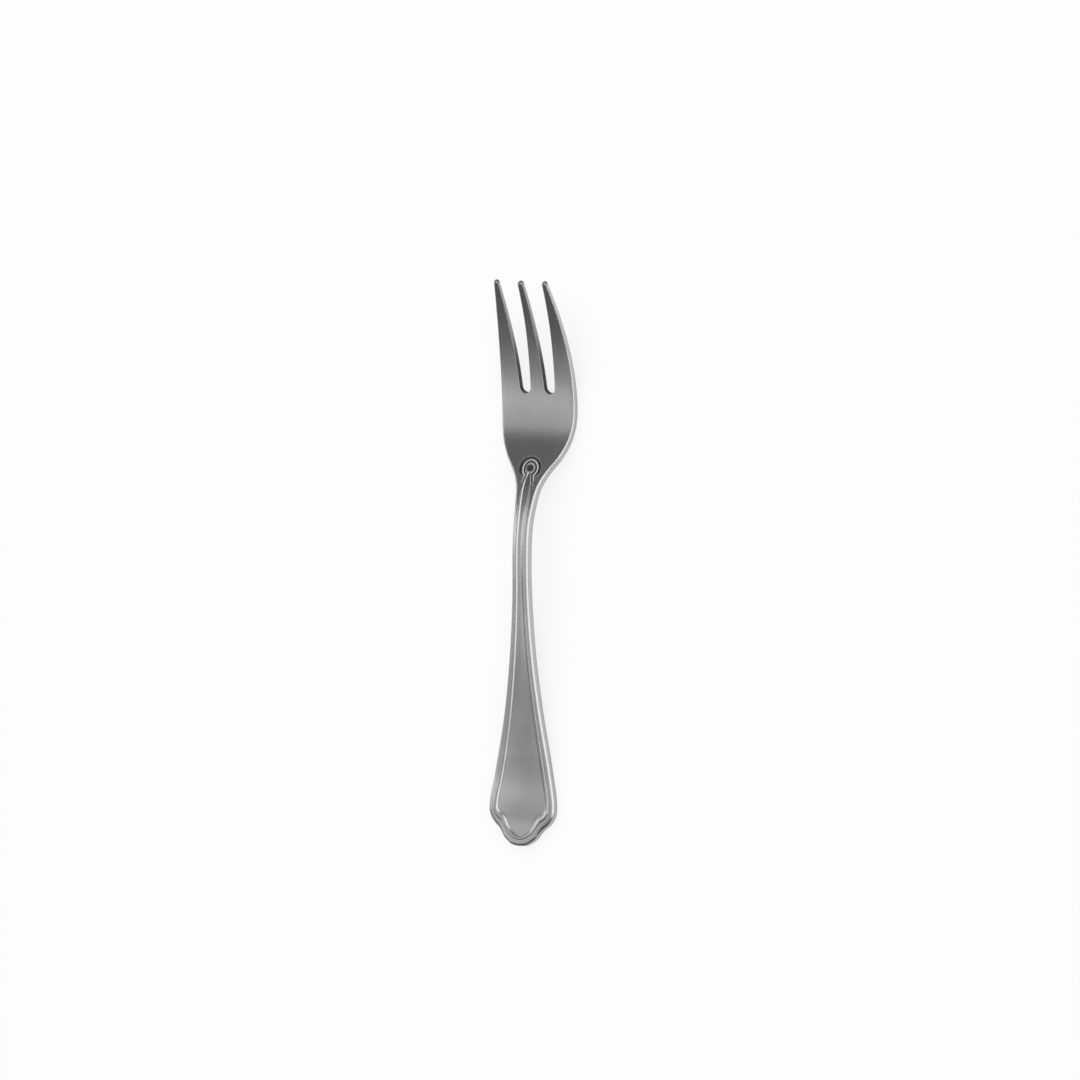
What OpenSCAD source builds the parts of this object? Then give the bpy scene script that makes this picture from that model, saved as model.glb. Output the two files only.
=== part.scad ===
// Cake fork, pressed from one steel blank: three tines, a shallow bowl,
// an arched stem and a broad handle with a lobed end and a raised border.
// Millimetres, +Z up, tines toward +Y, standing on Z = 0 under its middle.

/* [Overall] */
// Whole length, from the handle end to the tine tips
fork_l = 150; // [125:1:180]
// Widest part of the head
head_w = 22.3; // [18:0.1:27]
// Narrowest part of the stem
stem_w = 5.1; // [4.2:0.1:6.2]
// Widest part of the handle, across its side lobes
handle_w = 20; // [16:0.1:24]

/* [Side view] */
// Height of the middle of the sheet at the top of the arch
arch_h = 7.6; // [6:0.1:9.5]
// Height of the middle of the sheet at the tine tips
tip_h = 14.6; // [12:0.1:17.6]
// From the tine tips back to the top of the arch
arch_back = 69; // [57:1:83]
// From the tine tips back to the lowest place of the bowl
bowl_back = 36; // [30:1:44]
// From the handle end in to the flat stretch on which the handle rests
rest_in = 8; // [6.5:0.5:10]
// Length of the flat stretch on which the handle rests
rest_l = 7; // [5:0.5:9]
// How far the handle end turns up past where it rests
end_lift = 0.7; // [0:0.1:1.2]

/* [Sheet] */
// Thickness of the handle
handle_t = 2.3; // [1.9:0.1:2.8]
// Thickness of the stem
stem_t = 2.5; // [2:0.1:3]
// Thickness of the bowl
bowl_t = 1.9; // [1.6:0.1:2.3]
// Thickness of the tine tips
tip_t = 1.3; // [1.1:0.1:1.6]
// Rounding of the sheet's edges
edge_r = 0.45; // [0.3:0.05:0.5]
// How far the bowl's sides stand above its middle
bowl_dish = 0.3; // [0:0.1:0.8]

/* [Head] */
// From the tine tips back to the start of the shoulders
neck_back = 67; // [56:1:80]
// From the tine tips back to the widest place of the head
widest_back = 31; // [26:1:37]

/* [Tines] */
// Length of the gaps between the tines
gap_l = 29.6; // [24:0.1:36]
// Width of a gap at its root
gap_root_w = 3.2; // [2.6:0.1:4]
// Width of a gap at the tine tips
gap_tip_w = 5.9; // [4.8:0.1:7.1]
// Width of the middle tine at its tip
middle_tip_w = 1.5; // [1.2:0.05:1.8]
// Width of an outer tine at its tip
outer_tip_w = 1.2; // [1:0.05:1.5]

/* [Handle end] */
// From the handle end in to the widest place of the side lobes
lobe_in = 10.4; // [8.6:0.1:12.5]

/* [Border] */
// Width of the border on the handle, from the edge to the sunk panel
border_w = 2.9; // [2.4:0.1:3.5]
// Width of the flute along the stem
flute_w = 1.6; // [1.3:0.1:2]
// How far the panel and the flute lie below the rim
panel_drop = 0.3; // [0.2:0.05:0.4]
// How far the bead beside the panel stands above the rim
bead_rise = 0.12; // [0.06:0.02:0.2]

/* [Neck ring] */
// From the tine tips back to the middle of the ring
ring_back = 49.9; // [47:0.1:52]
// Radius of the ring to the middle of its bead
ring_r = 1.9; // [1.5:0.1:2.2]
// Radius of the ring's bead
ring_bead_r = 0.4; // [0.3:0.05:0.5]
// How far the bead stands above the sheet
ring_rise = 0.25; // [0.15:0.05:0.3]

/* [Hidden] */

tip_y = fork_l / 2;
end_y = -fork_l / 2;
rest_y = end_y + rest_in;
rise_y = rest_y + rest_l;
lobe_y = end_y + lobe_in;
arch_y = tip_y - arch_back;
bowl_y = tip_y - bowl_back;
neck_y = tip_y - neck_back;
widest_y = tip_y - widest_back;
ring_y = tip_y - ring_back;
gap_root_y = tip_y - gap_l;
// From the middle line to the middle of a gap, and the width across the ends of the outer tines
gap_x = (middle_tip_w + gap_tip_w) / 2;
tip_span = middle_tip_w + 2 * gap_tip_w + 2 * outer_tip_w;

// Free curves, each as [share of the way, share of the change]
lobe_curve =
    [[0, 0], [0.16, 0.21], [0.31, 0.34], [0.54, 0.555], [0.69, 0.71], [0.76, 0.82],
     [0.82, 0.91], [0.93, 0.995], [1, 1]];
flare_curve = [[0, 0], [0.2, 0.015], [0.43, 0.155], [0.65, 0.42], [0.88, 0.82], [1, 1]];
shoulder_curve =
    [[0, 0], [0.22, 0.045], [0.35, 0.125], [0.44, 0.295], [0.56, 0.635], [0.67, 0.85], [0.8, 0.97], [1, 1]];
arch_curve = [[0, 0], [0.15, 0.09], [0.3, 0.25], [0.55, 0.555], [0.76, 0.79], [0.91, 0.95], [1, 1]];
// Slope with which the lobe curve leaves the handle end
lobe_start = 1.4;
// Powers that bend the head's taper, the fall to the bowl and the rise of the tines
taper_power = 1.85;
fall_power = 1.1;
rise_power = 1.65;

// Shares of the border: end of the plain rim, two sides of the bead's top
rim_share = 0.47;
bead_shares = [0.62, 0.72];
// Points of an edge's rounding, as shares of its radius
edge_shares = [0, 0.3, 1];
// Shares of the half-width that the same points take on the plain head
head_shares = [0.82, 0.64, 0.46, 0.28];
// Places of the underside's points between the middle and the rounding
under_share = 0.5;

function mix(a, b, s) = a + (b - a) * s;
function share(a, b, v) = max(0, min(1, (v - a) / (b - a)));
function ease(s) = s * s * (3 - 2 * s);

// Smooth curve through the points p, with the slopes s0 and s1 at its two ends
function seg(p, u, i = 0) = i < len(p) - 2 && u > p[i + 1][0] ? seg(p, u, i + 1) : i;
function chord(p, i) = (p[i + 1][1] - p[i][1]) / (p[i + 1][0] - p[i][0]);
function slope_at(p, i, s0, s1) =
    i == 0 ? s0 : i == len(p) - 1 ? s1 : (chord(p, i - 1) + chord(p, i)) / 2;
function hermite(a, b, m0, m1, s) =
    a * (1 + 2 * s) * (1 - s) * (1 - s) + m0 * s * (1 - s) * (1 - s)
    + b * s * s * (3 - 2 * s) + m1 * s * s * (s - 1);
function curve_in(p, u, i, s0, s1) =
    let (d = p[i + 1][0] - p[i][0])
    hermite(p[i][1], p[i + 1][1], d * slope_at(p, i, s0, s1), d * slope_at(p, i + 1, s0, s1),
            (u - p[i][0]) / d);
function curve(p, u, s0 = 0, s1 = 0) = curve_in(p, u, seg(p, u), s0, s1);

// Half-width of the outline at y, zero past the handle end
function half_w(y) =
    y <= end_y ? 0
    : y < lobe_y ? handle_w / 2 * curve(lobe_curve, sqrt((y - end_y) / lobe_in), lobe_start)
    : y < arch_y ? mix(stem_w, handle_w, curve(flare_curve, share(arch_y, lobe_y, y))) / 2
    : y < neck_y ? stem_w / 2
    : y < widest_y ? mix(stem_w, head_w, curve(shoulder_curve, share(neck_y, widest_y, y))) / 2
    : mix(head_w, tip_span, pow(share(widest_y, tip_y, y), taper_power)) / 2;

// Thickness of the sheet at y
function thick(y) =
    y < arch_y ? mix(handle_t, stem_t, ease(share(rise_y, arch_y, y)))
    : y < bowl_y ? mix(stem_t, bowl_t, ease(share(neck_y, bowl_y, y)))
    : mix(bowl_t, tip_t, share(bowl_y, tip_y, y));

// Height of the middle of the sheet at y
function mid_z(y) =
    y < rest_y ? handle_t / 2 + end_lift * pow((rest_y - y) / rest_in, 2)
    : y < arch_y ? mix(handle_t / 2, arch_h, curve(arch_curve, share(rise_y, arch_y, y)))
    : y < bowl_y ? mix(arch_h, bowl_t / 2, ease(pow(share(arch_y, bowl_y, y), fall_power)))
    : mix(bowl_t / 2, tip_h, pow(share(bowl_y, tip_y, y), rise_power));
// Slope of the sheet in degrees
slope_step = 0.05;
function tilt(y) = atan((mid_z(y + slope_step) - mid_z(y - slope_step)) / (2 * slope_step));

// How much the bowl is dished at y: none on the stem or at the tine tips
function dish(y) = bowl_dish * ease(share(neck_y, bowl_y, y)) * (1 - share(bowl_y, tip_y, y));

// Half-width that the border's lines follow: past the arch they run straight on to the ring
function line_w(y) = y > arch_y ? stem_w / 2 : half_w(y);
// Width of the border at y, which is full where the handle has two thirds of its own width
full_border_share = 2 / 3;
function border(y) =
    mix((stem_w - flute_w) / 2, border_w,
        ease(share(stem_w / 2, full_border_share * handle_w / 2, line_w(y))));
// Half-width left at y when the outline, or the line that the border follows, is drawn in by d
inset_steps = 12;
function drawn_in(y, d, straight) =
    min([for (i = [-inset_steps:inset_steps])
        let (a = 90 * i / inset_steps, t = y + d * sin(a))
        (straight ? line_w(t) : half_w(t)) - d * cos(a)]);

// The border fades out below the ring
fade_l = 4;
function on_border(y) = 1 - ease(share(ring_y - fade_l, ring_y, y));
// Depth of the relief below the rim at distance d from the edge
function relief(d, b) =
    d <= rim_share * b ? 0
    : d <= bead_shares[1] * b ? -bead_rise
    : panel_drop;
function edge_drop(d) = d >= edge_r ? 0 : edge_r - sqrt(edge_r * edge_r - pow(edge_r - d, 2));

// Distances from the edge of the upper face's points, edge first
function top_distances(b) = concat(
    [for (s = edge_shares) s * edge_r],
    [rim_share * b, bead_shares[0] * b, bead_shares[1] * b, b]);
// Least spacing of points where the outline closes at the handle end
close_share = 0.1;
function spread(x, k, n, w) = max(x, close_share * w * (n - k));

// Upper half of a section, from the edge to the middle, as [x, height above the middle of the sheet]
function top_half(y) =
    let (w = half_w(y), b = border(y), d = top_distances(b), n = len(d), m = on_border(y),
         first = len(edge_shares), drawn = 1 - m)
    [for (k = [0:n - 1])
        let (room = y - end_y, near = min(d[k], room),
             x0 = spread(drawn_in(y, d[k], k >= first), k, n, w),
             x = k < first ? x0 : mix(x0, w * head_shares[k - first], drawn))
        [x, thick(y) / 2 - edge_drop(near) - m * relief(near, b)]];
function top_mid(y) =
    let (near = min(border(y), y - end_y))
    [0, thick(y) / 2 - edge_drop(near) - on_border(y) * relief(near, border(y))];
// Lower half of a section, from the edge to the middle
function low_half(y) =
    let (w = half_w(y), n = len(edge_shares) + 1)
    [for (k = [0:n - 1])
        let (d = k < n - 1 ? edge_shares[k] * edge_r : edge_r,
             x0 = spread(drawn_in(y, d, false), k, n, w))
        [k < n - 1 ? x0 : x0 * under_share, edge_drop(min(d, y - end_y)) - thick(y) / 2]];
function low_mid(y) = [0, edge_drop(min(edge_r, y - end_y)) - thick(y) / 2];

function flipped(half) = [for (i = [len(half) - 1:-1:0]) [-half[i][0], half[i][1]]];
function section(y) = concat(
    top_half(y), [top_mid(y)], flipped(top_half(y)),
    [for (p = low_half(y)) [-p[0], p[1]]], [low_mid(y)],
    [for (i = [len(low_half(y)) - 1:-1:0]) low_half(y)[i]]);

// A section stood square to the sheet at y, but upright where the handle end turns up
function placed(y) =
    let (a = y < rest_y ? 0 : tilt(y), w = half_w(y), z = mid_z(y), bow = dish(y))
    [for (p = section(y))
        let (up = p[1] + bow * pow(p[0] / w, 2)) [p[0], y - up * sin(a), z + up * cos(a)]];

// Stations along the fork, closer together at the handle end and on the neck
end_steps = 18;
end_gap = 0.03;
long_step = 3;
neck_step = 1;
tip_mid_y = tip_y - tip_t / 2 * sin(tilt(tip_y - slope_step));
stations = concat(
    [for (i = [0:end_steps]) end_y + end_gap + lobe_in * pow(i / end_steps, 2)],
    [rise_y],
    [for (y = [rise_y + long_step:long_step:neck_y - long_step / 2]) y],
    [for (y = [neck_y:neck_step:widest_y - neck_step]) y],
    [for (y = [widest_y:long_step:tip_y - long_step]) y],
    [tip_mid_y]);

// Closed skin over a row of rings with the same number of points
module skin(rings) {
    n = len(rings[0]);
    last = len(rings) - 1;
    sides = [for (i = [0:last - 1]) for (k = [0:n - 1])
        let (a = i * n + k, b = i * n + (k + 1) % n)
        each [[a, b, b + n], [a, b + n, a + n]]];
    caps = [for (k = [1:n - 2]) each [[0, k + 1, k], [last * n, last * n + k, last * n + k + 1]]];
    polyhedron([for (r = rings) each r], concat(sides, caps), convexity = 8);
}

// Flat arc of points about c, from angle a0 to a1
arc_steps = 12;
function arc(c, r, a0, a1) =
    [for (i = [0:arc_steps])
        let (a = mix(a0, a1, i / arc_steps)) [c[0] + r * cos(a), c[1] + r * sin(a)]];

// Stands a flat cutter square to the sheet at y
cut_h = 60;
module square_to_sheet(y)
    translate([0, y, mid_z(y)]) rotate([tilt(y), 0, 0]) linear_extrude(cut_h, center = true) children();

// One gap between two tines, with a round root, drawn with its root at y = 0
past_tips = 8;
module gap() {
    root_r = gap_root_w / 2;
    spread_x = gap_tip_w / 2 + past_tips * (gap_tip_w - gap_root_w) / 2 / gap_l;
    square_to_sheet(gap_root_y)
        polygon(concat(
            arc([gap_x, root_r], root_r, 180, 360),
            [[gap_x + spread_x, gap_l + past_tips], [gap_x - spread_x, gap_l + past_tips]]));
}

// Rounds the ends of the three tines
module tip_trim() {
    middle_r = middle_tip_w / 2;
    outer_r = outer_tip_w / 2;
    outer_x = tip_span / 2 - outer_r;
    square_to_sheet(tip_mid_y)
        difference() {
            translate([-head_w, -middle_r]) square([2 * head_w, past_tips]);
            for (t = [[-outer_x, outer_r], [0, middle_r], [outer_x, outer_r]])
                translate([t[0], -t[1]]) {
                    circle(t[1], $fn = 32);
                    translate([-2 * t[1], -2 * t[1]]) square([4 * t[1], 2 * t[1]]);
                }
        }
}

// Round bead where the two threads of the stem meet
module neck_ring()
    translate([0, ring_y, mid_z(ring_y)]) rotate([tilt(ring_y), 0, 0])
        translate([0, 0, thick(ring_y) / 2 + ring_rise - ring_bead_r])
            rotate_extrude($fn = 48) translate([ring_r, 0]) circle(ring_bead_r, $fn = 24);

module fork()
    color("silver") difference() {
        union() {
            skin([for (y = stations) placed(y)]);
            neck_ring();
        }
        gap();
        mirror([1, 0, 0]) gap();
        tip_trim();
    }

fork();
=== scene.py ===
import math
import bpy
import numpy as np
from mathutils import Matrix, Vector
from mathutils.geometry import delaunay_2d_cdt


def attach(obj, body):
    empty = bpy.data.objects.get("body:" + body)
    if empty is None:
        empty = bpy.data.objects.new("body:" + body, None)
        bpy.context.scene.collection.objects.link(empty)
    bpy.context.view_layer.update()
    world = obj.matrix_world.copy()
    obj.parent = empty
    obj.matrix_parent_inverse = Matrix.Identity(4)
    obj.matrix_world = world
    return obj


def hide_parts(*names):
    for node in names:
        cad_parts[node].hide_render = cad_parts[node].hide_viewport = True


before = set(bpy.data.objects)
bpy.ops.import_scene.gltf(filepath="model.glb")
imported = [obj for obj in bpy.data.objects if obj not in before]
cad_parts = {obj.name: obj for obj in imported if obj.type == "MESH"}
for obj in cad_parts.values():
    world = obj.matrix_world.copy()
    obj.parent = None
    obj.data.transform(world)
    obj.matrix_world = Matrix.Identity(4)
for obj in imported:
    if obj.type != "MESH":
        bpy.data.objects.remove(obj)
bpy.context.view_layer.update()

# A cake fork, made as the press makes it: a flat blank is cut, its edges are rounded,
# the border is pressed into its upper face, and the sheet is bent into an arch.
# The fork's sizes are in millimetres, with the tines toward +Y, and its mesh is written in metres.
MM = 0.001

# Whole sizes of the fork
FORK_L = 150.0
HEAD_W = 22.3
STEM_W = 5.1
HANDLE_W = 20.0
TIP_Y = FORK_L / 2
END_Y = -FORK_L / 2

# Places along the fork: the handle's widest place and its resting place, each in from the handle's end,
# the start of the rise, the top of the arch, the neck, the head's lowest and widest places, and the ring
LOBE_IN = 10.4
LOBE_Y = END_Y + LOBE_IN
REST_IN = 8.0
REST_Y = END_Y + REST_IN
RISE_Y = REST_Y + 7.0
ARCH_Y = TIP_Y - 69.0
NECK_Y = TIP_Y - 67.0
BOWL_Y = TIP_Y - 36.0
WIDEST_Y = TIP_Y - 31.0
RING_Y = TIP_Y - 49.9

# Heights of the middle of the sheet, and its thickness
ARCH_H = 7.6
TIP_H = 14.6
END_LIFT = 0.7
HANDLE_T = 2.3
STEM_T = 2.5
BOWL_T = 1.9
TIP_T = 1.3
BOWL_DISH = 0.1
# Rounding of the edges: how far in it reaches, and how deep it falls on the upper side
HANDLE_EDGE_W = 1.2
HANDLE_EDGE_DROP = 0.85
STEM_EDGE_W = 1.0
STEM_EDGE_DROP = 0.9
HEAD_EDGE_W = 0.48
HEAD_EDGE_DROP = 0.48
SLOT_EDGE_W = 0.18
# The slots' rounding grows to the head's between these distances from their roots
SLOT_EDGE_FROM = 8.0
SLOT_EDGE_TO = 20.0
# The lower edge is rounded by this share of the upper one
LOWER_EDGE_SHARE = 0.5
# The head's upper face also falls a little toward its outer edges, from polishing
WEAR_W = 1.6
WEAR_DROP = 0.08
WEAR_FROM_Y = RING_Y + 6.0
WEAR_FULL_Y = RING_Y + 13.0

# Tines and the gaps between them
GAP_ROOT_Y = TIP_Y - 29.6
GAP_ROOT_R = 1.6
GAP_TIP_W = 5.9
MIDDLE_TIP_W = 1.5
OUTER_TIP_W = 1.2
GAP_X = (MIDDLE_TIP_W + GAP_TIP_W) / 2
TIP_SPAN = MIDDLE_TIP_W + 2 * GAP_TIP_W + 2 * OUTER_TIP_W
# The tips' lean is taken this far in from their ends
TIP_LEAN_IN = 1.0
# Painted shade on the cut faces: the slots' walls are painted darker, fading to a least value between two
# distances from the roots, and the ends of the tines, between two distances from the tips
ROOT_MARGIN = 0.2
SLOT_SHADE_FROM = 6.0
SLOT_SHADE_TO = 18.0
SLOT_SHADE_LEAST = 0.3
TIP_SHADE_FROM = 1.1
TIP_SHADE_TO = 0.6
TIP_SHADE_AMOUNT = 0.9
# Share of the rounding over which that painted shade fades inward
SHADE_FADE_SHARE = 0.6

# Free curves of the outline and the side view, as (share of the way, share of the change)
LOBE_CURVE = [(0, 0), (0.16, 0.21), (0.31, 0.345), (0.47, 0.5), (0.6, 0.6), (0.68, 0.69), (0.74, 0.8),
              (0.82, 0.912), (0.93, 0.995), (1, 1)]
PANEL_LOBE_CURVE = [(0, 0), (0.2, 0.165), (0.35, 0.295), (0.48, 0.427), (0.6, 0.525), (0.69, 0.587),
                    (0.78, 0.655), (0.845, 0.76), (0.9, 0.905), (0.96, 0.98), (1, 1)]
FLARE_CURVE = [(0, 0), (0.2, 0.015), (0.43, 0.155), (0.65, 0.42), (0.88, 0.82), (1, 1)]
SHOULDER_CURVE = [(0, 0), (0.22, 0.045), (0.35, 0.125), (0.44, 0.295), (0.56, 0.635),
                  (0.67, 0.85), (0.8, 0.97), (1, 1)]
ARCH_CURVE = [(0, 0), (0.15, 0.09), (0.3, 0.25), (0.55, 0.555), (0.76, 0.79), (0.91, 0.95), (1, 1)]
# Slopes at the start of the two lobe curves
LOBE_START = 1.4
PANEL_LOBE_START = 0.8
# Powers that shape the taper of the head, the fall from the arch to the bowl and the rise of the tines
TAPER_POWER = 1.85
FALL_POWER = 1.1
RISE_POWER = 1.65

# The pressed border's width on the handle, the sunk panel's depth and crown, and the flute's hollow
BORDER_W = 2.9
PANEL_DROP = 0.4
PANEL_CROWN = 0.22
FLUTE_HOLLOW = 0.09
# The border has its full width where the handle has this share of its own
FULL_BORDER_SHARE = 0.8
# The hollow turns into the crown between these half-widths of the panel,
# and the crown comes in over this length from the panel's end
CROWN_FROM_W = 1.2
CROWN_FULL_W = 5.0
CROWN_END_L = 10.0
PANEL_LEAST_W = 0.2
# Both begin between these shares of the way across the border
SWELL_FROM = 0.95
SWELL_FULL = 1.1
# The sunk panel's own lobed end: its end and its widest place, and the notches of outline and panel
PANEL_END_Y = END_Y + 3.2
PANEL_LOBE_Y = END_Y + 10.2
NOTCH_Y = END_Y + 4.5
PANEL_NOTCH_Y = END_Y + 7.3
# The stem's flute and its border up to the pinch below the ring, as (place along the fork, width)
FLUTE_HALF_W = [(ARCH_Y, 0.6), (12.0, 0.65), (17.0, 0.8), (20.1, 0.85),
                (22.0, 0.65), (23.6, 0.3), (25.6, 0.3)]
NECK_BORDER_W = [(ARCH_Y, 1.95), (15.0, 1.75), (20.1, 1.3), (23.6, 0.85), (26.0, 0.85)]
FLUTE_END_Y = RING_Y - 1.2
# Steepness with which the flute and its beads close past that end
FLUTE_CLOSING = 1.3
# The handle's own lines run on this far past the arch
PAST_ARCH = 3.0
# Shares of the way across the border are counted no further than this, well on the panel,
# and where the flute meets the ring their join is this soft
MOST_SHARE = 1.2
JOIN_SOFTNESS = 0.05
# Cross-section of the border from the edge to the panel, as (share of its width, share of the drop):
# a plain rim, then a bead that stands above it, then the slope down to the panel
RIM_SHARE = 0.36
CREST = 0.68
BORDER_PROFILE = [(0, RIM_SHARE), (0.51, RIM_SHARE), (0.54, 0.34), (0.57, 0.25), (0.6, 0.12),
                  (0.63, 0.03), (CREST, 0), (0.72, 0.04), (0.77, 0.14), (0.82, 0.27),
                  (0.87, 0.42), (0.9, 0.6), (0.93, 0.79), (0.96, 0.94), (1, 1)]
# Shares of the border's width at which the blank has a line of points
BORDER_LINES = [0.4, 0.43, 0.46, 0.49, 0.515, 0.54, 0.56, 0.58, 0.6, 0.625, 0.65, 0.68, 0.715, 0.75,
                0.79, 0.83, 0.86, 0.885, 0.91, 0.935, 0.96, 0.98, 1.01, 1.06]
# The ring at the neck: its inner bead, and an outer bead, a hollow and a faint ridge outside it,
# each so far out from the inner bead's crest
RING_R = 1.3
RING_BORDER_W = 1.4
OUTER_BEAD_AT = 0.9
OUTER_BEAD_W = 0.27
OUTER_BEAD_RISE = 0.14
DISH_SHARE = 0.8
RING_DEPTH = 0.3
MOAT_AT = 1.6
MOAT_W = 0.45
MOAT_DROP = 0.06
RIDGE_AT = 2.2
RIDGE_W = 0.3
RIDGE_RISE = 0.015
# Beside the flute the distances outward are stretched, so that the beads lie closer together
BESIDE_STRETCH = 1.35
# Distances below the ring's middle over which these shapes come in along the stem, and the swell goes
RING_PRESS = (2.2, 1.0)
OUTER_BEAD_IN = (7.0, 2.0)
MOAT_IN = (3.5, 1.0)
SWELL_OUT = (14.0, 7.0)
# Painted shade in the recesses, as distances out from the inner bead's crest over which the shade comes and
# goes
VALLEY_SHADE = ((0.1, 0.3), (0.6, 0.8))
MOAT_SHADE = ((1.0, 1.3), (1.75, 2.1))
MOAT_SHADE_IN = (2.5, 1.0)
DISH_SHADE = (-0.35, -0.7)
DISH_SHADE_Y = RING_Y - 1.5
DISH_SHADE_AMOUNT = 0.8
# The flute below the ring gets painted shade too, between these shares of the way across its border
FLUTE_SHADE = (0.9, 1.1)
FLUTE_SHADE_AMOUNT = 0.4

# Spacing of the outline's points on long sides, on the lobes and roots, and on the tine tips
SIDE_STEP = 0.3
LOBE_STEP = 0.2
TIP_STEP = 0.09
# Closer points that such lines are taken from: their spacing along sides, and their numbers on curves
FINE = 0.02
HANDLE_FINE = 0.1
ARC_POINTS = 60
LOBE_POINTS = 400
END_POINTS = 300
# Numbers of points along the border: round the end, round a lobe, and up the side
END_STATIONS = 40
LOBE_STATIONS = 32
SIDE_STATIONS = 300
# Circles of points at the ring: the radius of the first, their spacing, and the points on each
FIRST_CIRCLE_R = 0.2
CIRCLE_STEP = 0.08
CIRCLE_POINT_STEP = 0.13
LEAST_CIRCLE_POINTS = 8
# Lines of points along the flute: where they begin, their points' spacing, their number and spread
FLUTE_LINES_Y = ARCH_Y - 40.0
FLUTE_POINT_STEP = 0.3
FLUTE_LINES = 13
FLUTE_SPREAD = 0.9
# Steps of the quarter circle that rounds an edge, and the spacing of the points inside it
ROUND_STEPS = 12
FIELD_SPACING = 0.5
LOWER_SPACING = 0.9
LEAST_GAP = 0.06
# Points of the plain grid keep this share of its spacing from the finer points
KEEP_OFF = 0.6
# Points closer than this to a line count as on it
TOUCH = 0.01
# Points closer than this are one point to the filling of the blank
SAME_POINT = 1e-9
# Least values to divide by
TINY = 1e-6
TINY_SQUARE = 1e-12
LEAST_HALF_W = 0.5


def mix(a, b, s):
    """Value that lies a share of the way from a to b."""
    return a + (b - a) * s


def share(a, b, v):
    """How far a value has come from a to b, held between 0 and 1."""
    return np.clip((v - a) / (b - a), 0, 1)


def ease(s):
    """The same share with a soft start and a soft stop."""
    return s * s * (3 - 2 * s)


def curve(points, u, first_slope=0.0, last_slope=0.0):
    """Smooth curve through the points, with inner slopes that are the mean of the two chords."""
    x, y = np.array(points, float).T
    chords = np.diff(y) / np.diff(x)
    slopes = np.concatenate([[first_slope], (chords[:-1] + chords[1:]) / 2, [last_slope]])
    i = np.clip(np.searchsorted(x, u) - 1, 0, len(x) - 2)
    d = x[i + 1] - x[i]
    s = np.clip((u - x[i]) / d, 0, 1)
    return (y[i] * (1 + 2 * s) * (1 - s) ** 2 + d * slopes[i] * s * (1 - s) ** 2
            + y[i + 1] * s * s * (3 - 2 * s) + d * slopes[i + 1] * s * s * (s - 1))


def handle_half_w(y):
    """Half-width of the handle and the stem, which runs on straight past the arch."""
    flare = mix(STEM_W, HANDLE_W, curve(FLARE_CURVE, share(ARCH_Y, LOBE_Y, y))) / 2
    lobe = HANDLE_W / 2 * curve(LOBE_CURVE, np.sqrt(share(END_Y, LOBE_Y, y)), LOBE_START)
    return np.where(y < LOBE_Y, lobe, flare)


def half_w(y):
    """Half-width of the whole outline."""
    shoulder = mix(STEM_W, HEAD_W, curve(SHOULDER_CURVE, share(NECK_Y, WIDEST_Y, y))) / 2
    taper = mix(HEAD_W, TIP_SPAN, share(WIDEST_Y, TIP_Y, y) ** TAPER_POWER) / 2
    return np.where(y < NECK_Y, handle_half_w(y), np.where(y < WIDEST_Y, shoulder, taper))


def thickness(y):
    """Thickness of the sheet."""
    handle = mix(HANDLE_T, STEM_T, ease(share(RISE_Y, ARCH_Y, y)))
    neck = mix(STEM_T, BOWL_T, ease(share(NECK_Y, BOWL_Y, y)))
    tines = mix(BOWL_T, TIP_T, share(BOWL_Y, TIP_Y, y))
    return np.where(y < ARCH_Y, handle, np.where(y < BOWL_Y, neck, tines))


def height(y):
    """Height of the middle of the sheet above the table."""
    end = END_LIFT * share(REST_Y, END_Y, y) ** 2
    handle = mix(HANDLE_T / 2, ARCH_H, curve(ARCH_CURVE, share(RISE_Y, ARCH_Y, y))) + end
    fall = mix(ARCH_H, BOWL_T / 2, ease(share(ARCH_Y, BOWL_Y, y) ** FALL_POWER))
    tines = mix(BOWL_T / 2, TIP_H, share(BOWL_Y, TIP_Y, y) ** RISE_POWER)
    return np.where(y < ARCH_Y, handle, np.where(y < BOWL_Y, fall, tines))


def lean(y):
    """Angle of the sheet, but none where the handle end turns up with upright sides."""
    step = 0.05
    angle = np.arctan((height(y + step) - height(y - step)) / (2 * step))
    return np.where(y < REST_Y, 0.0, angle)


def gap_half_w(y):
    """Half-width of the gaps between the tines."""
    return mix(GAP_ROOT_R, GAP_TIP_W / 2, share(GAP_ROOT_Y + GAP_ROOT_R, TIP_Y, y))


def border_w(y):
    """Width of the border: all of it on the handle, and what the flute leaves on the stem."""
    handle = mix(STEM_W / 2 - FLUTE_HALF_W[0][1], BORDER_W,
                 share(STEM_W / 2, FULL_BORDER_SHARE * HANDLE_W / 2, handle_half_w(y)))
    return np.where(y < ARCH_Y, handle, STEM_W / 2 - curve(FLUTE_HALF_W, y))


def panel_half_w(y):
    """Half-width of the sunk panel, which has lobes of its own and narrows into the stem's flute."""
    along = handle_half_w(y) - border_w(y)
    widest = HANDLE_W / 2 - BORDER_W
    from_end = np.sqrt(share(PANEL_END_Y, PANEL_LOBE_Y, y))
    lobe = widest * curve(PANEL_LOBE_CURVE, from_end, PANEL_LOBE_START)
    return np.where(y < PANEL_LOBE_Y, lobe, along)


def along_fork(on_handle, on_stem, on_head, y):
    """A size that differs between the handle, the stem and the head, with soft changes."""
    broad = ease(share(STEM_W / 2, FULL_BORDER_SHARE * HANDLE_W / 2, handle_half_w(y)))
    toward_bowl = ease(share(NECK_Y, BOWL_Y, y))
    return np.where(y < ARCH_Y, mix(on_stem, on_handle, broad), mix(on_stem, on_head, toward_bowl))


def edge_w(y):
    """How far in from the outline the rounding of the edge reaches."""
    return along_fork(HANDLE_EDGE_W, STEM_EDGE_W, HEAD_EDGE_W, y)


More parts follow.
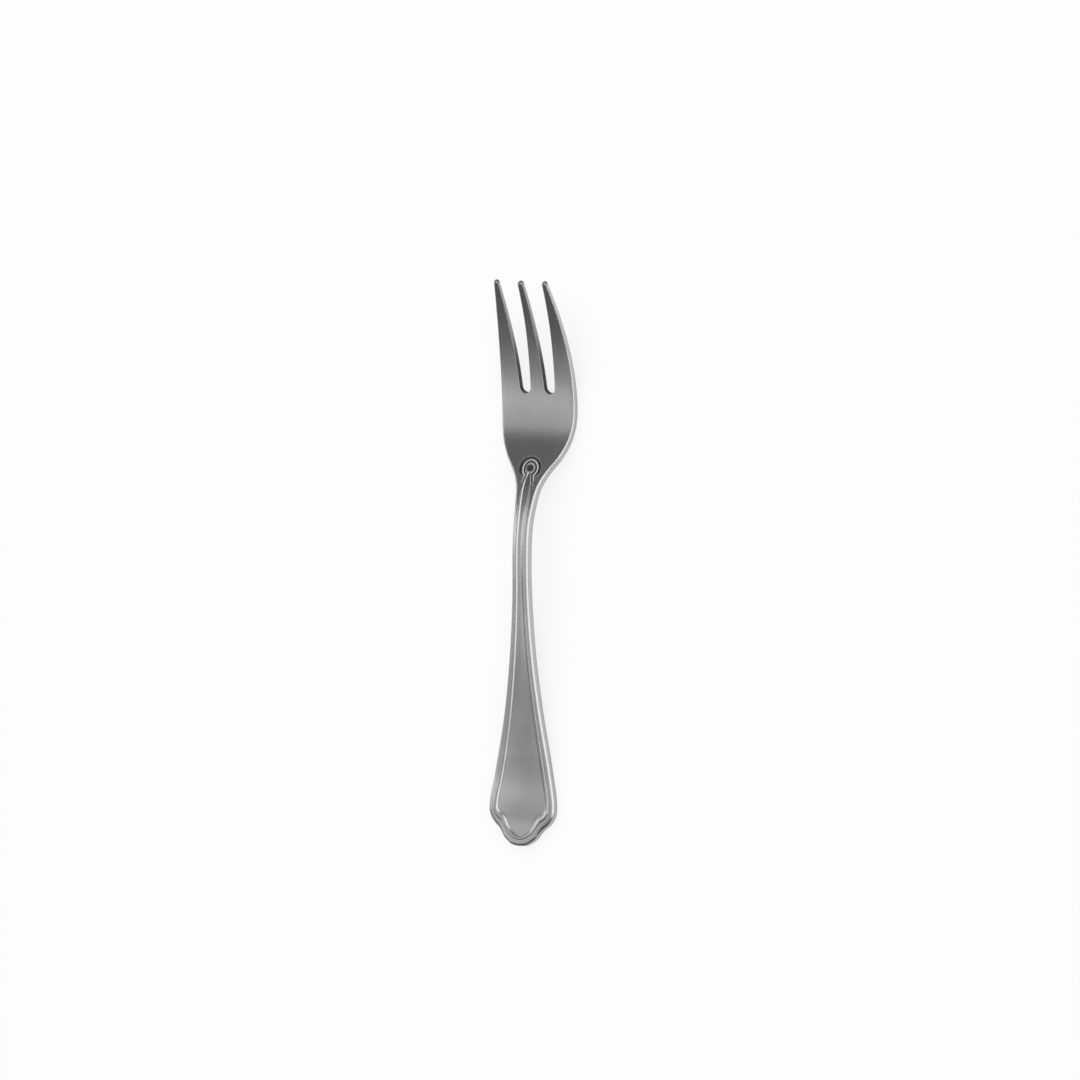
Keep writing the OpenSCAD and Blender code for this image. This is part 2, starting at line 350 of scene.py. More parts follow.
def edge_sizes(outline):
    """Reach and depth of the rounding at each point of the outline: both small at the slots' roots."""
    x, y = np.abs(outline[:, 0]), outline[:, 1]
    in_slot = (y > GAP_ROOT_Y - TOUCH) & (np.abs(x - GAP_X) < gap_half_w(y) + TOUCH)
    from_root = ease(share(GAP_ROOT_Y + SLOT_EDGE_FROM, GAP_ROOT_Y + SLOT_EDGE_TO, y))
    slot = mix(SLOT_EDGE_W, HEAD_EDGE_W, from_root)
    reach = np.where(in_slot, slot, edge_w(y))
    drop = along_fork(HANDLE_EDGE_DROP, STEM_EDGE_DROP, HEAD_EDGE_DROP, y)
    return reach, np.where(in_slot, slot * HEAD_EDGE_DROP / HEAD_EDGE_W, drop)


def distance_along(points):
    """Distance along a line at each of its points."""
    return np.concatenate([[0], np.cumsum(np.linalg.norm(np.diff(points, axis=0), axis=1))])


def spread(points, count):
    """The same line with a number of points evenly apart."""
    along = distance_along(points)
    at = np.linspace(0, along[-1], count)
    return np.stack([np.interp(at, along, points[:, k]) for k in (0, 1)], axis=1)


def evenly(points, step):
    """The same line with points about one step apart."""
    steps = int(round(distance_along(points)[-1] / step))
    return spread(points, max(2, steps + 1))


def arc(centre, radius_x, radius_y, start, stop):
    """Part of an ellipse between two angles in degrees."""
    a = np.radians(np.linspace(start, stop, ARC_POINTS))
    return np.stack([centre[0] + radius_x * np.cos(a), centre[1] + radius_y * np.sin(a)], axis=1)


def by_y(width, ys):
    """Line of points at these places along the fork, as far out as the width says."""
    return np.stack([width(ys), ys], axis=1)


def half_outline():
    """Right half of the outline, from the handle end round the tines to the middle line."""
    tip_lean = float(lean(TIP_Y - TIP_LEAN_IN))
    tip_end = TIP_Y - TIP_T / 2 * math.sin(tip_lean)
    flat = math.cos(tip_lean)
    outer_y = tip_end - OUTER_TIP_W / 2 * flat
    outer_edge = float(half_w(outer_y))
    inner_edge = GAP_X + float(gap_half_w(outer_y))
    outer_r = (outer_edge - inner_edge) / 2
    middle_r = GAP_X - float(gap_half_w(outer_y))
    middle_y = tip_end - middle_r * flat
    root_y = GAP_ROOT_Y + GAP_ROOT_R
    lobe = by_y(half_w, END_Y + LOBE_IN * np.linspace(0, 1, LOBE_POINTS) ** 2)
    side = by_y(half_w, np.arange(LOBE_Y, outer_y, FINE))
    outer_tip = arc((outer_edge - outer_r, outer_y), outer_r, outer_r * flat, 0, 180)
    gap_outer = by_y(lambda y: GAP_X + gap_half_w(y), np.arange(outer_y, root_y, -FINE))
    root = arc((GAP_X, root_y), GAP_ROOT_R, GAP_ROOT_R, 0, -180)
    gap_inner = by_y(lambda y: GAP_X - gap_half_w(y), np.arange(root_y, middle_y, FINE))
    middle_tip = arc((0, middle_y), middle_r, middle_r * flat, 0, 90)
    parts = [(lobe, LOBE_STEP), (side, SIDE_STEP), (outer_tip, TIP_STEP), (gap_outer, SIDE_STEP),
             (root, LOBE_STEP), (gap_inner, SIDE_STEP), (middle_tip, TIP_STEP)]
    return np.concatenate([evenly(points, step)[:-1] for points, step in parts] + [middle_tip[-1:]])


def whole_outline():
    """The outline as one loop that runs anticlockwise."""
    right = half_outline()
    left = right[-2:0:-1] * (-1, 1)
    return np.concatenate([right, left])


def outward(loop):
    """Outward directions at the points of a loop that runs anticlockwise."""
    ahead = np.roll(loop, -1, axis=0) - loop
    ahead /= np.linalg.norm(ahead, axis=1)[:, None]
    both = ahead + np.roll(ahead, 1, axis=0)
    both /= np.linalg.norm(both, axis=1)[:, None]
    return np.stack([both[:, 1], -both[:, 0]], axis=1)


def nearest(points, line, chunk=1500):
    """Distance from each point to the nearest piece of a line."""
    start, along = line[:-1], np.diff(line, axis=0)
    length = np.maximum((along ** 2).sum(1), TINY_SQUARE)
    found = []
    for i in range(0, len(points), chunk):
        apart = points[i:i + chunk, None, :] - start[None]
        t = np.clip((apart * along[None]).sum(2) / length[None], 0, 1)
        found.append(np.sqrt(((apart - t[..., None] * along[None]) ** 2).sum(2).min(1)))
    return np.concatenate(found)


def closing_line(width, end_y, lobe_y, last_y):
    """One side of a lobed shape, from its closed end up to the last place."""
    end = by_y(width, end_y + (lobe_y - end_y) * np.linspace(0, 1, END_POINTS) ** 2)
    rest = by_y(width, np.arange(lobe_y, last_y, HANDLE_FINE))
    return np.concatenate([end, rest[1:]])


def handle_share(points):
    """How far across the handle's border each point lies: 0 on the edge, from 1 up on the panel."""
    edge = closing_line(handle_half_w, END_Y, LOBE_Y, ARCH_Y + PAST_ARCH)
    panel = closing_line(panel_half_w, PANEL_END_Y, PANEL_LOBE_Y, ARCH_Y + PAST_ARCH)
    x, y = points.T
    from_edge = nearest(points, edge)
    from_panel = nearest(points, panel)
    on_panel = (x < panel_half_w(y)) & (y > PANEL_END_Y)
    between = from_edge / np.maximum(from_edge + from_panel, TINY)
    return np.where(on_panel, 1 + from_panel / BORDER_W, between)


def border_share(points):
    """The same over the whole fork: the flute's border ends in the ring at the neck."""
    x, y = np.abs(points[:, 0]), points[:, 1]
    past_end = np.maximum(0, y - FLUTE_END_Y)
    along = 1 - (x - curve(FLUTE_HALF_W, y)) / curve(NECK_BORDER_W, y) - FLUTE_CLOSING * past_end
    on_handle = y < ARCH_Y
    along[on_handle] = handle_share(np.stack([x, y], axis=1)[on_handle])
    around = np.minimum(DISH_SHARE, CREST - (np.hypot(x, y - RING_Y) - RING_R) / RING_BORDER_W)
    close = np.maximum(JOIN_SOFTNESS - np.abs(along - around), 0)
    joined = np.maximum(along, around) + close ** 2 / (4 * JOIN_SOFTNESS)
    return np.clip(joined, 0, MOST_SHARE)


def toward_ring(y, span):
    """Soft change from 0 to 1 between two distances below the ring's middle."""
    return ease(share(RING_Y - span[0], RING_Y - span[1], y))


def press_depth(y):
    """Share of the panel's drop that is pressed: it goes with the border's width, with more at the ring."""
    width = np.where(y < ARCH_Y, border_w(y), curve(NECK_BORDER_W, y))
    return width / BORDER_W + RING_DEPTH * toward_ring(y, RING_PRESS)


def bump(v, middle, width):
    """Soft hump, 1 at its middle and 0 from its width on."""
    return ease(np.clip(1 - np.abs(v - middle) / width, 0, 1))


def outside_bead(points):
    """Distance outward from the crest of the inner bead, along the flute and around the ring."""
    x, y = np.abs(points[:, 0]), points[:, 1]
    crest = curve(FLUTE_HALF_W, y) + (1 - CREST) * curve(NECK_BORDER_W, y)
    beside = BESIDE_STRETCH * (x - crest) + FLUTE_CLOSING * np.maximum(0, y - FLUTE_END_Y)
    return np.minimum(beside, np.hypot(x, y - RING_Y) - RING_R)


def ring_rise(points):
    """Height of the outer bead, the hollow and the ridge outside it, which fade out along the stem."""
    out, y = outside_bead(points), points[:, 1]
    bead = OUTER_BEAD_RISE * bump(out, OUTER_BEAD_AT, OUTER_BEAD_W) * toward_ring(y, OUTER_BEAD_IN)
    ridge = RIDGE_RISE * bump(out, RIDGE_AT, RIDGE_W)
    moat = MOAT_DROP * bump(out, MOAT_AT, MOAT_W)
    return bead + toward_ring(y, MOAT_IN) * (ridge - moat)


def within(v, coming, going):
    """Soft change from 0 to 1 over the first span, and back to 0 over the second."""
    return ease(share(*coming, v)) * (1 - ease(share(*going, v)))


def recess_shade(points, shares):
    """How much painted shade darkens the steel in the recesses between and around the ring's beads."""
    out, y = outside_bead(points), points[:, 1]
    valley = within(out, *VALLEY_SHADE)
    moat = within(out, *MOAT_SHADE) * toward_ring(y, MOAT_SHADE_IN)
    dish = DISH_SHADE_AMOUNT * ease(share(*DISH_SHADE, out)) * (y > DISH_SHADE_Y)
    flute = FLUTE_SHADE_AMOUNT * ease(share(*FLUTE_SHADE, shares))
    return np.maximum.reduce([valley, moat, dish, flute]) * toward_ring(y, OUTER_BEAD_IN)


def edge_wear(points):
    """Fall of the head's upper face toward its outer edges."""
    y = points[:, 1]
    from_edge = half_w(y) - np.abs(points[:, 0])
    near = np.clip(1 - from_edge / WEAR_W, 0, 1)
    return WEAR_DROP * near ** 2 * ease(share(WEAR_FROM_Y, WEAR_FULL_Y, y))


def slot_and_tip_shade(points, edge_in):
    """How much painted shade darkens the slots' walls near their roots and the ends of the tines."""
    x, y = np.abs(points[:, 0]), points[:, 1]
    in_slot = (y > GAP_ROOT_Y - ROOT_MARGIN) & (np.abs(x - GAP_X) < gap_half_w(y) + HEAD_EDGE_W)
    near_root = 1 - ease(share(GAP_ROOT_Y + SLOT_SHADE_FROM, GAP_ROOT_Y + SLOT_SHADE_TO, y))
    wall = in_slot * mix(SLOT_SHADE_LEAST, 1.0, near_root)
    tip = TIP_SHADE_AMOUNT * ease(share(TIP_Y - TIP_SHADE_FROM, TIP_Y - TIP_SHADE_TO, y))
    return np.maximum(wall, tip) * (1 - share(0, SHADE_FADE_SHARE, edge_in))


def panel_swell(points, shares):
    """Crown of the handle's panel, which turns into the hollow of the stem's flute."""
    y = points[:, 1]
    edge = np.maximum(panel_half_w(np.maximum(y, PANEL_LOBE_Y)), PANEL_LEAST_W)
    across = np.clip(1 - (points[:, 0] / edge) ** 2, 0, 1)
    broad = ease(share(CROWN_FROM_W, CROWN_FULL_W, edge))
    on_panel = ease(share(SWELL_FROM, SWELL_FULL, shares)) * (1 - toward_ring(y, SWELL_OUT))
    from_end = ease(share(PANEL_END_Y, PANEL_END_Y + CROWN_END_L, y))
    return on_panel * across * mix(-FLUTE_HOLLOW, PANEL_CROWN * from_end, broad)


def thinned(points, taken, gap):
    """Points that keep a gap from the points already taken and from one another."""
    cells = {}

    def cell(p):
        return int(math.floor(p[0] / gap)), int(math.floor(p[1] / gap))

    def crowded(p):
        i, j = cell(p)
        for a in (i - 1, i, i + 1):
            for b in (j - 1, j, j + 1):
                for q in cells.get((a, b), ()):
                    if (p[0] - q[0]) ** 2 + (p[1] - q[1]) ** 2 < gap * gap:
                        return True
        return False

    for p in taken:
        cells.setdefault(cell(p), []).append(p)
    kept = []
    for p in points:
        if not crowded(p):
            kept.append(p)
            cells.setdefault(cell(p), []).append(p)
    return np.array(kept)


def on_sheet(points, margin, outline):
    """Points on the blank further from its outline than the rounding and a margin."""
    x, y = np.abs(points[:, 0]), points[:, 1]
    in_gap = (y > GAP_ROOT_Y) & (np.abs(x - GAP_X) < gap_half_w(y))
    inside = points[(x < half_w(y)) & (y > END_Y) & (y < TIP_Y) & ~in_gap]
    away = nearest(inside, np.concatenate([outline, outline[:1]]))
    return inside[away > edge_w(inside[:, 1]) + margin]


def matched(width, end_y, notch_y, lobe_y):
    """Points along one side of a lobed shape, counted alike for the outline and the panel."""
    def spaced(start, stop, count):
        fine = by_y(width, end_y + (lobe_y - end_y) * np.linspace(start, stop, END_POINTS) ** 2)
        return spread(fine, count + 1)

    notch = math.sqrt((notch_y - end_y) / (lobe_y - end_y))
    end = spaced(0, notch, END_STATIONS)
    lobe = spaced(notch, 1, LOBE_STATIONS)
    side = by_y(width, np.linspace(lobe_y, FLUTE_END_Y, SIDE_STATIONS + 1))
    return np.concatenate([end[1:], lobe[1:], side[1:]])


def border_points():
    """Lines of points along the border on both sides, between the outline and the panel."""
    edge = matched(handle_half_w, END_Y, NOTCH_Y, LOBE_Y)
    panel = matched(panel_half_w, PANEL_END_Y, PANEL_NOTCH_Y, PANEL_LOBE_Y)
    right = np.concatenate([edge + (panel - edge) * part for part in BORDER_LINES])
    right = right[right[:, 0] > TOUCH]
    return np.concatenate([right, right * (-1, 1)])


def ring_points():
    """Circles of points around the neck ring and over the hollow outside it."""
    rings = []
    for r in np.arange(FIRST_CIRCLE_R, RING_R + RIDGE_AT + RIDGE_W, CIRCLE_STEP):
        count = max(LEAST_CIRCLE_POINTS, int(2 * math.pi * r / CIRCLE_POINT_STEP))
        a = np.arange(count) * 2 * math.pi / count + math.pi / 2
        rings.append(np.stack([r * np.cos(a), RING_Y + r * np.sin(a)], axis=1))
    return np.concatenate(rings)


def flute_points():
    """Lines of points along the flute, where the panel is narrow."""
    rows = []
    across = np.linspace(-FLUTE_SPREAD, FLUTE_SPREAD, FLUTE_LINES)
    for y in np.arange(FLUTE_LINES_Y, FLUTE_END_Y, FLUTE_POINT_STEP):
        rows.append(np.stack([panel_half_w(y) * across, np.full(FLUTE_LINES, y)], axis=1))
    return np.concatenate(rows)


def field_points(spacing):
    """Plain triangular grid over the whole fork."""
    rows = []
    lift = spacing * math.sqrt(3) / 2
    for k, y in enumerate(np.arange(END_Y, TIP_Y, lift)):
        xs = np.arange(-HEAD_W / 2, HEAD_W / 2 + spacing, spacing) + spacing / 2 * (k % 2)
        rows.append(np.stack([xs, np.full(len(xs), y)], axis=1))
    return np.concatenate(rows)


def flat_blank():
    """The cut blank as a closed mesh without thickness: its upper face, then its plainer lower face."""
    outline = whole_outline()
    out = outward(outline)
    quarter = np.linspace(0, math.pi / 2, ROUND_STEPS + 1)
    edge_in = 1 - np.cos(quarter)
    reach, depth = edge_sizes(outline)
    rings = [outline - out * (reach * e)[:, None] for e in edge_in]
    inner = rings[-1]
    fine = np.concatenate([ring_points(), border_points(), flute_points()])
    fine = thinned(on_sheet(fine, LEAST_GAP, outline), inner, LEAST_GAP)
    field = on_sheet(field_points(FIELD_SPACING), FIELD_SPACING / 2, outline)
    upper_middle = np.concatenate([fine, thinned(field, fine, FIELD_SPACING * KEEP_OFF)])
    lower_middle = on_sheet(field_points(LOWER_SPACING), LOWER_SPACING / 2, outline)
    count = len(outline)
    band = []
    for k in range(ROUND_STEPS):
        for j in range(count):
            here = k * count + j
            beside = k * count + (j + 1) % count
            band.append([here, beside, beside + count, here + count])
    points, edges, drops, upper, faces = [], [], [], [], []
    for side, middle in ((1, upper_middle), (0, lower_middle)):
        start = sum(len(part) for part in points)
        inside = [[ROUND_STEPS * count + i for i in face] for face in fill(inner, middle)]
        faces += [[start + i for i in face[::1 if side else -1]] for face in band + inside]
        points.append(np.concatenate(rings + [middle]))
        edges.append(np.concatenate([np.repeat(edge_in, count), np.ones(len(middle))]))
        drops.append(np.concatenate([np.tile(depth, ROUND_STEPS + 1), np.zeros(len(middle))]))
        upper.append(np.full(len(points[-1]), float(side)))
    below = len(points[0])
    faces += [[below + j, below + (j + 1) % count, (j + 1) % count, j] for j in range(count)]
    return [np.concatenate(part) for part in (points, edges, drops, upper)] + [faces]


def fill(inner, middle):
    """Triangles between the innermost loop and the points inside it."""
    together = np.concatenate([inner, middle])
    loop = list(range(len(inner)))
    only_inside = 1
    result = delaunay_2d_cdt([Vector(p) for p in together], [], [loop], only_inside, SAME_POINT)
    found, origins = result[2], result[3]
    came_from = [origin[0] for origin in origins]
    faces = []
    for face in found:
        a, b, c = (came_from[i] for i in face)
        turn = np.cross(together[b] - together[a], together[c] - together[a])
        faces.append([a, b, c] if turn > 0 else [a, c, b])
    return faces


class Flow:
    """A socket in a node tree. Sums on it add their Math nodes."""

    def __init__(self, tree, socket):
        self.tree = tree
        self.socket = socket

    @staticmethod
    def plug(tree, socket, value):
        if isinstance(value, Flow):
            tree.links.new(value.socket, socket)
        else:
            socket.default_value = value

    @staticmethod
    def node(tree, kind, settings=None, sockets=None, out=0):
        """Makes any node: its settings first, then the values or links of its sockets."""
        made = tree.nodes.new(kind)
        for name, value in (settings or {}).items():
            if name == "stops":
                Flow.set_stops(made.color_ramp, value)
            elif name == "points":
                Flow.set_points(made.mapping, value)
            else:
                setattr(made, name, value)
        for key, value in (sockets or {}).items():
            Flow.plug(tree, made.inputs[key], value)
        return Flow(tree, made.outputs[out]) if made.outputs else made

    @staticmethod
    def set_stops(ramp, stops):
        while len(ramp.elements) < len(stops):
            ramp.elements.new(1.0)
        for element, (place, grey) in zip(ramp.elements, stops):
            element.position = place
            element.color = (grey, grey, grey, 1)

    @staticmethod
    def set_points(mapping, points):
        line = mapping.curves[0].points
        while len(line) < len(points):
            line.new(0.5, 0.5)
        for made, place in zip(line, points):
            made.location = place
        mapping.update()

    def maths(self, operation, *others):
        values = dict(enumerate((self, *others)))
        return Flow.node(self.tree, "ShaderNodeMath", {"operation": operation}, values)

    def __add__(self, other):
        return self.maths("ADD", other)

    __radd__ = __add__

    def __sub__(self, other):
        return self.maths("SUBTRACT", other)

    def __rsub__(self, other):
        return (self * -1) + other

    def __mul__(self, other):
        return self.maths("MULTIPLY", other)

    __rmul__ = __mul__


def press_tree(steel):
    """Node tree that gives the blank its thickness, presses its upper face and bends it."""
    tree = bpy.data.node_groups.new("press_and_bend", "GeometryNodeTree")
    tree.interface.new_socket("Blank", in_out="INPUT", socket_type="NodeSocketGeometry")
    for name in ("Edge rounding", "Panel drop"):
        tree.interface.new_socket(name, in_out="INPUT", socket_type="NodeSocketFloat")
    tree.interface.new_socket("Fork", in_out="OUTPUT", socket_type="NodeSocketGeometry")
    start = tree.nodes.new("NodeGroupInput")
    blank = Flow(tree, start.outputs["Blank"])
    rounding = Flow(tree, start.outputs["Edge rounding"])
    drop = Flow(tree, start.outputs["Panel drop"])

    def stored(name):
        return Flow.node(tree, "GeometryNodeInputNamedAttribute", {"data_type": "FLOAT"}, {"Name": name})

    upper = stored("upper")
    inward = 1 - stored("edge_in")
    rounded = rounding * stored("edge_drop") * (1 - (1 - inward * inward).maths("SQRT"))
    profile = Flow.node(tree, "ShaderNodeFloatCurve", {"points": BORDER_PROFILE},
                        {"Factor": 1.0, "Value": stored("border")})
    pressed = drop * stored("depth") * (profile - RIM_SHARE) - stored("swell") + stored("fall")
    half = stored("thickness") * 0.5
    above = half - rounded - pressed
    below = half - rounded * LOWER_EDGE_SHARE
    level = upper * above - (1 - upper) * below + stored("bow")
    angle = stored("lean")
    spot = Flow.node(tree, "GeometryNodeInputPosition")
    x = Flow.node(tree, "ShaderNodeSeparateXYZ", None, {0: spot}, "X")
    y = Flow.node(tree, "ShaderNodeSeparateXYZ", None, {0: spot}, "Y")
    bent = Flow.node(tree, "ShaderNodeCombineXYZ", None, {
        "X": x,
        "Y": y - level * angle.maths("SINE"),
        "Z": stored("height") + level * angle.maths("COSINE")})
    shaped = Flow.node(tree, "GeometryNodeSetPosition", None, {"Geometry": blank, "Position": bent})
    smooth = Flow.node(tree, "GeometryNodeSetShadeSmooth", None, {0: shaped, "Shade Smooth": True})
    real = Flow.node(tree, "GeometryNodeRealizeInstances", None, {0: smooth})
    coated = Flow.node(tree, "GeometryNodeSetMaterial", None, {"Geometry": real, "Material": steel})
    Flow.node(tree, "NodeGroupOutput", None, {"Fork": coated})
    return tree


def pressed_fork(steel):
    """The finished fork as a plain mesh object."""
    points, edge_in, edge_drop, upper, faces = flat_blank()
    y = points[:, 1]
    shares = border_share(points)
    dish = BOWL_DISH * ease(share(NECK_Y, BOWL_Y, y)) * (1 - share(BOWL_Y, TIP_Y, y))
    each = {
        "edge_in": edge_in,
        "edge_drop": edge_drop * MM,
        "upper": upper,
        "border": shares,
        "depth": press_depth(y),
        "fall": edge_wear(points) * MM,
        "swell": (panel_swell(points, shares) + ring_rise(points)) * MM,
        "thickness": thickness(y) * MM,
        "height": height(y) * MM,
        "lean": lean(y),
        "bow": dish * (points[:, 0] / np.maximum(half_w(y), LEAST_HALF_W)) ** 2 * MM,
    }
    # Painted shade: the steel's colour is darkened in the slots, on the tine ends and in the ring's
    # recesses
    each["dull"] = np.maximum(slot_and_tip_shade(points, edge_in), recess_shade(points, shares) * upper)
    mesh = bpy.data.meshes.new("fork_blank")
    mesh.from_pydata([(px, py, 0.0) for px, py in points * MM], [], faces)
    for name, values in each.items():
        mesh.attributes.new(name, "FLOAT", "POINT").data.foreach_set("value", values)
    blank = bpy.data.objects.new("fork_blank", mesh)
    bpy.context.scene.collection.objects.link(blank)
    tree = press_tree(steel)
    press = blank.modifiers.new("press", "NODES")
    press.node_group = tree
    sizes = {"Edge rounding": 1.0, "Panel drop": PANEL_DROP * MM}
    for item in tree.interface.items_tree:
        if item.name in sizes and item.in_out == "INPUT":
            press[item.identifier] = sizes[item.name]
    bpy.context.view_layer.update()
    graph = bpy.context.evaluated_depsgraph_get()
    made = bpy.data.meshes.new_from_object(blank.evaluated_get(graph))
    bpy.data.objects.remove(blank)
    # Only the painted shade stays on the mesh, for the steel to read
    for name in each:
        if name != "dull":
            made.attributes.remove(made.attributes[name])
    made.name = "cake_fork"
    fork = bpy.data.objects.new("cake_fork", made)
    bpy.context.scene.collection.objects.link(fork)
    return fork


# From here on sizes and places are in metres.
# The steel's grey, how much clouds and grain change its tone and its roughness, and how much painted shade
# darkens its tone
STEEL_GREY = (0.60, 0.60, 0.605, 1)
TONE = 0.89
CLOUD_TONE = 0.17
GRAIN_TONE = 0.03
PAINTED_SHADE_TONE = 0.8
ROUGHNESS = 0.22
CLOUD_ROUGHNESS = 0.06
GRAIN_ROUGHNESS = 0.03
# Grain and clouds: how many to the metre across and along the fork, and their detail
GRAIN = (5200, 130, 4.0)
CLOUDS = (110, 60, 2.0)
GRAIN_BUMP = 0.01
GRAIN_DEPTH = 0.00002
# The table's paint, its white as the camera sees it and as the steel shows it
TABLE_PAINT = (0.85, 0.85, 0.85, 1)
TABLE_WHITE = 0.96
TABLE_IN_STEEL = 0.75
# The close shade under the fork: its reach, and how much of it the camera's plain white leaves out
SHADE_REACH = 0.012
SHADE_SAMPLES = 8
SHADE_LEFT_OUT = 0.85
# The table top's height and half its width
TABLE_TOP = -0.00003
TABLE_HALF = 6.0
# The room's brightness, as (height of the direction, brightness), and its white behind the fork
ROOM_LEVELS = [(0.0, 0.6), (0.04, 0.5), (0.12, 0.1), (1.0, 0.1)]
ROOM_WHITE = 0.975
# Lines by which a lamp is levelled
ALONG = (0, 1, 0)
UPRIGHT = (0, 0, 1)


def new_material(name):
    """An empty material and its node tree."""
    material = bpy.data.materials.new(name)
    material.use_nodes = True
    material.node_tree.nodes.clear()
    return material, material.node_tree


def satin_steel():
    """Stainless steel with a fine lengthwise grain and faint clouds, and painted shade in recesses and on
    cut faces.
    """
    material, tree = new_material("satin_steel")
    place = Flow.node(tree, "ShaderNodeTexCoord", None, None, "Object")

    def streaks(across, along, detail):
        scale = (across, along, across)
        stretched = Flow.node(tree, "ShaderNodeMapping", None, {"Vector": place, "Scale": scale})
        return Flow.node(tree, "ShaderNodeTexNoise", None, {
            "Vector": stretched, "Scale": 1.0, "Detail": detail})

    grain = streaks(*GRAIN)
    clouds = streaks(*CLOUDS)
    # Painted shade from the mesh, which darkens the colour only
    dull = Flow.node(tree, "ShaderNodeAttribute", {"attribute_name": "dull"}, None, "Fac")
    tone = (TONE + CLOUD_TONE * clouds + GRAIN_TONE * grain) * (1 - PAINTED_SHADE_TONE * dull)
    colour = Flow.node(tree, "ShaderNodeMix", {"data_type": "RGBA", "blend_type": "MULTIPLY"},
                       {"Factor": 1.0, 6: STEEL_GREY, 7: tone}, 2)
    rough = ROUGHNESS + CLOUD_ROUGHNESS * clouds + GRAIN_ROUGHNESS * grain
    raised = Flow.node(tree, "ShaderNodeBump", None, {
        "Strength": GRAIN_BUMP, "Distance": GRAIN_DEPTH, "Height": grain})
    shader = Flow.node(tree, "ShaderNodeBsdfPrincipled", None, {
        "Base Color": colour, "Metallic": 1.0, "Roughness": rough, "Normal": raised})
    Flow.node(tree, "ShaderNodeOutputMaterial", None, {"Surface": shader})
    return material


def white_table():
    """Plain white table that keeps the fork's shadow and shows as white, also in the steel."""
    material, tree = new_material("white_table")
    path = tree.nodes.new("ShaderNodeLightPath")
    camera, glossy, through = (Flow(tree, path.outputs[name])
                               for name in ("Is Camera Ray", "Is Glossy Ray", "Is Transmission Ray"))
    in_steel = glossy.maths("MAXIMUM", through) * TABLE_IN_STEEL
    shown = (camera * TABLE_WHITE).maths("MAXIMUM", in_steel)
    paint = Flow.node(tree, "ShaderNodeBsdfDiffuse", None, {"Color": TABLE_PAINT})
    open_sky = Flow.node(tree, "ShaderNodeAmbientOcclusion", {"samples": SHADE_SAMPLES},
                         {"Distance": SHADE_REACH}, "AO")
    shade = 1 - (1 - SHADE_LEFT_OUT * camera) * (1 - open_sky)
    glow = Flow.node(tree, "ShaderNodeEmission", None, {"Color": shade, "Strength": 1.0})
    mixed = Flow.node(tree, "ShaderNodeMixShader", None, {0: shown, 1: paint, 2: glow})
    Flow.node(tree, "ShaderNodeOutputMaterial", None, {"Surface": mixed})
    return material


def table():
    """Table top a hair below the fork, so that no two faces lie in one plane."""
    corners = [(x * TABLE_HALF, y * TABLE_HALF, TABLE_TOP) for x, y in ((-1, -1), (1, -1), (1, 1), (-1, 1))]
    mesh = bpy.data.meshes.new("table")
    mesh.from_pydata(corners, [], [(0, 1, 2, 3)])
    mesh.materials.append(white_table())
    made = bpy.data.objects.new("table", mesh)
    bpy.context.scene.collection.objects.link(made)


def softbox(name, place, level, width, length, brightness):
    """Area lamp that faces the fork. Its width lies square to the level line."""
    data = bpy.data.lights.new(name, "AREA")
    data.shape = "RECTANGLE"
    data.size = width
    data.size_y = length
    data.energy = brightness * math.pi * width * length
    lamp = bpy.data.objects.new(name, data)
    back = Vector(place).normalized()
    side = Vector(level).cross(back).normalized()
    up = back.cross(side)
    lamp.matrix_world = Matrix.Translation(place) @ Matrix((side, up, back)).transposed().to_4x4()
    lamp.visible_camera = False
    bpy.context.scene.collection.objects.link(lamp)


def studio_room():
    """Room around the table: white behind the fork, and in the steel pale walls and a dim ceiling."""
    world = bpy.data.worlds.new("studio_room")
    bpy.context.scene.world = world
    world.use_nodes = True
    tree = world.node_tree
    tree.nodes.clear()
    place = Flow.node(tree, "ShaderNodeTexCoord", None, None, "Generated")
    up = Flow.node(tree, "ShaderNodeSeparateXYZ", None, {0: place}, "Z")
    shade = Flow.node(tree, "ShaderNodeValToRGB", {"stops": ROOM_LEVELS}, {"Fac": up})
    camera = Flow.node(tree, "ShaderNodeLightPath", None, None, "Is Camera Ray")
    shown = shade.maths("MAXIMUM", camera * ROOM_WHITE)
    light = Flow.node(tree, "ShaderNodeBackground", None, {"Color": shown, "Strength": 1.0})
    Flow.node(tree, "ShaderNodeOutputWorld", None, {"Surface": light})


# Where the photograph was taken from: the picture's right, the way back to the camera and its distance
VIEW_RIGHT = Vector((0.8669, 0.0419, -0.4968))
VIEW_BACK = Vector((0.4958, 0.0319, 0.8678))
VIEW_DISTANCE = 1.8
PIXELS_PER_MM = 3.7686
PICTURE = 1080
SENSOR = 36.0
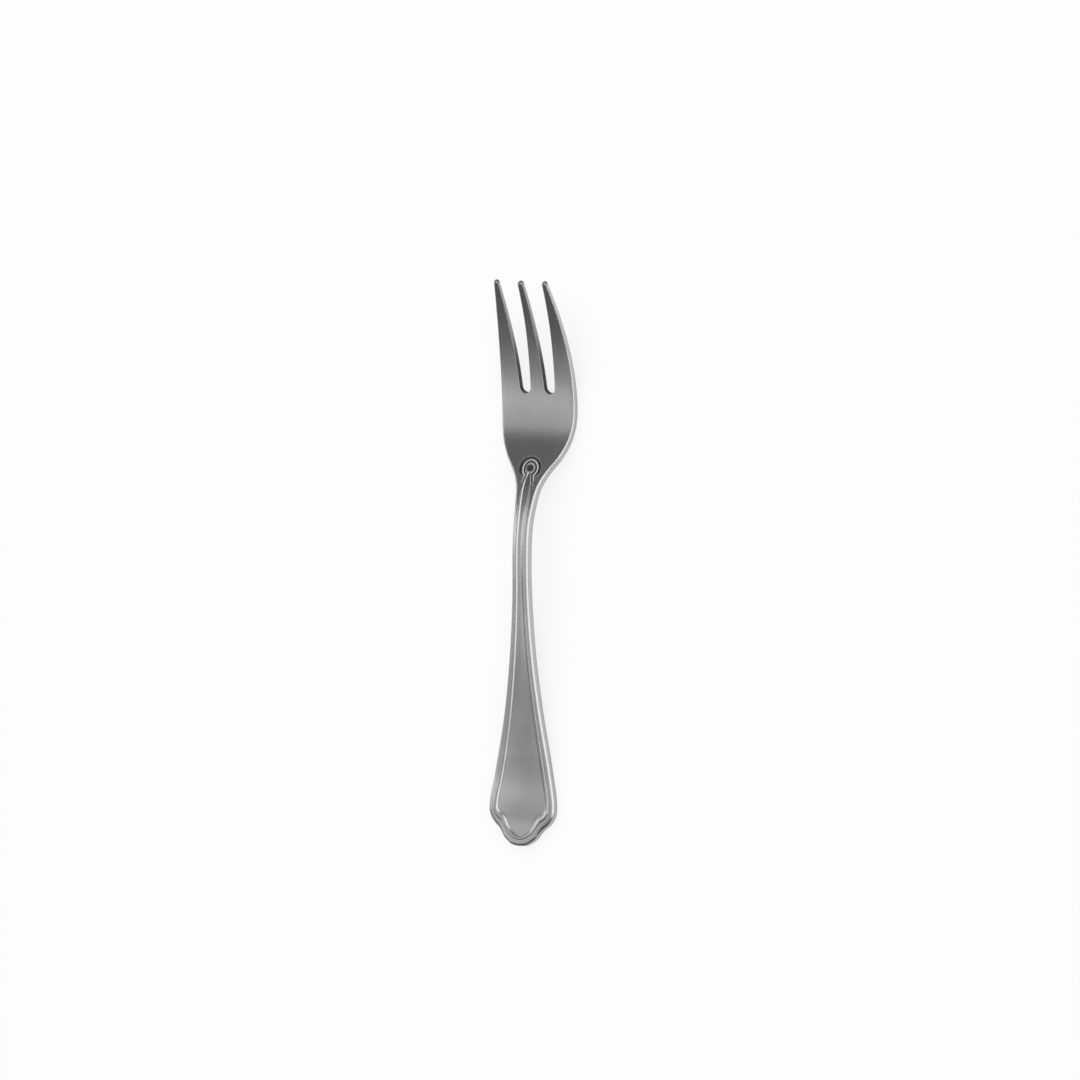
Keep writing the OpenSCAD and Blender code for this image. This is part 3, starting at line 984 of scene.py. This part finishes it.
# Place of the fork's origin in the picture
ORIGIN_PIXEL = (535.35, 564.03)


def camera():
    """Camera at the place that the photograph was taken from."""
    data = bpy.data.cameras.new("camera")
    data.sensor_width = SENSOR
    data.lens = PIXELS_PER_MM / MM * VIEW_DISTANCE * SENSOR / PICTURE
    made = bpy.data.objects.new("camera", data)
    right = (PICTURE / 2 - ORIGIN_PIXEL[0]) / PIXELS_PER_MM * MM
    up = (ORIGIN_PIXEL[1] - PICTURE / 2) / PIXELS_PER_MM * MM
    back = VIEW_BACK.normalized()
    across = (VIEW_RIGHT - back * VIEW_RIGHT.dot(back)).normalized()
    top = back.cross(across)
    place = back * VIEW_DISTANCE + across * right + top * up
    made.matrix_world = Matrix.Translation(place) @ Matrix((across, top, back)).transposed().to_4x4()
    bpy.context.scene.collection.objects.link(made)
    bpy.context.scene.camera = made


fork = pressed_fork(satin_steel())
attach(fork, "root")
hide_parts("fork")

table()
studio_room()
# Each lamp's place, the line it is levelled by, its width, its length and the brightness of its face
softbox("right_softbox", (0.87, 0.3, 0.83), ALONG, 1.5, 2.2, 1.35)
softbox("left_softbox", (-1.1, 0.12, 0.6), ALONG, 0.8, 0.54, 1.1)
softbox("left_fill", (-1.1, -0.375, 0.6), ALONG, 0.8, 0.45, 0.2)
softbox("top_softbox", (-0.173, 0.012, 0.3), ALONG, 0.2, 0.23, 0.42)
softbox("top_front_fill", (-0.173, -0.15, 0.3), ALONG, 0.2, 0.09, 0.17)
softbox("overhead_fill", (-0.012, -0.04, 0.35), ALONG, 0.2, 0.32, 0.4)
softbox("handle_fill", (-0.25, -0.075, 0.28), ALONG, 0.16, 0.09, 0.3)
softbox("arch_fill", (0.04, 0.06, 0.35), ALONG, 0.1, 0.18, 0.22)
softbox("neck_fill", (-1.05, 0.6, 0.4), ALONG, 0.3, 0.4, 0.8)
softbox("far_softbox", (-0.08, 0.55, 0.2), UPRIGHT, 1.0, 0.32, 0.9)
camera()
bpy.context.scene.view_settings.view_transform = "Standard"
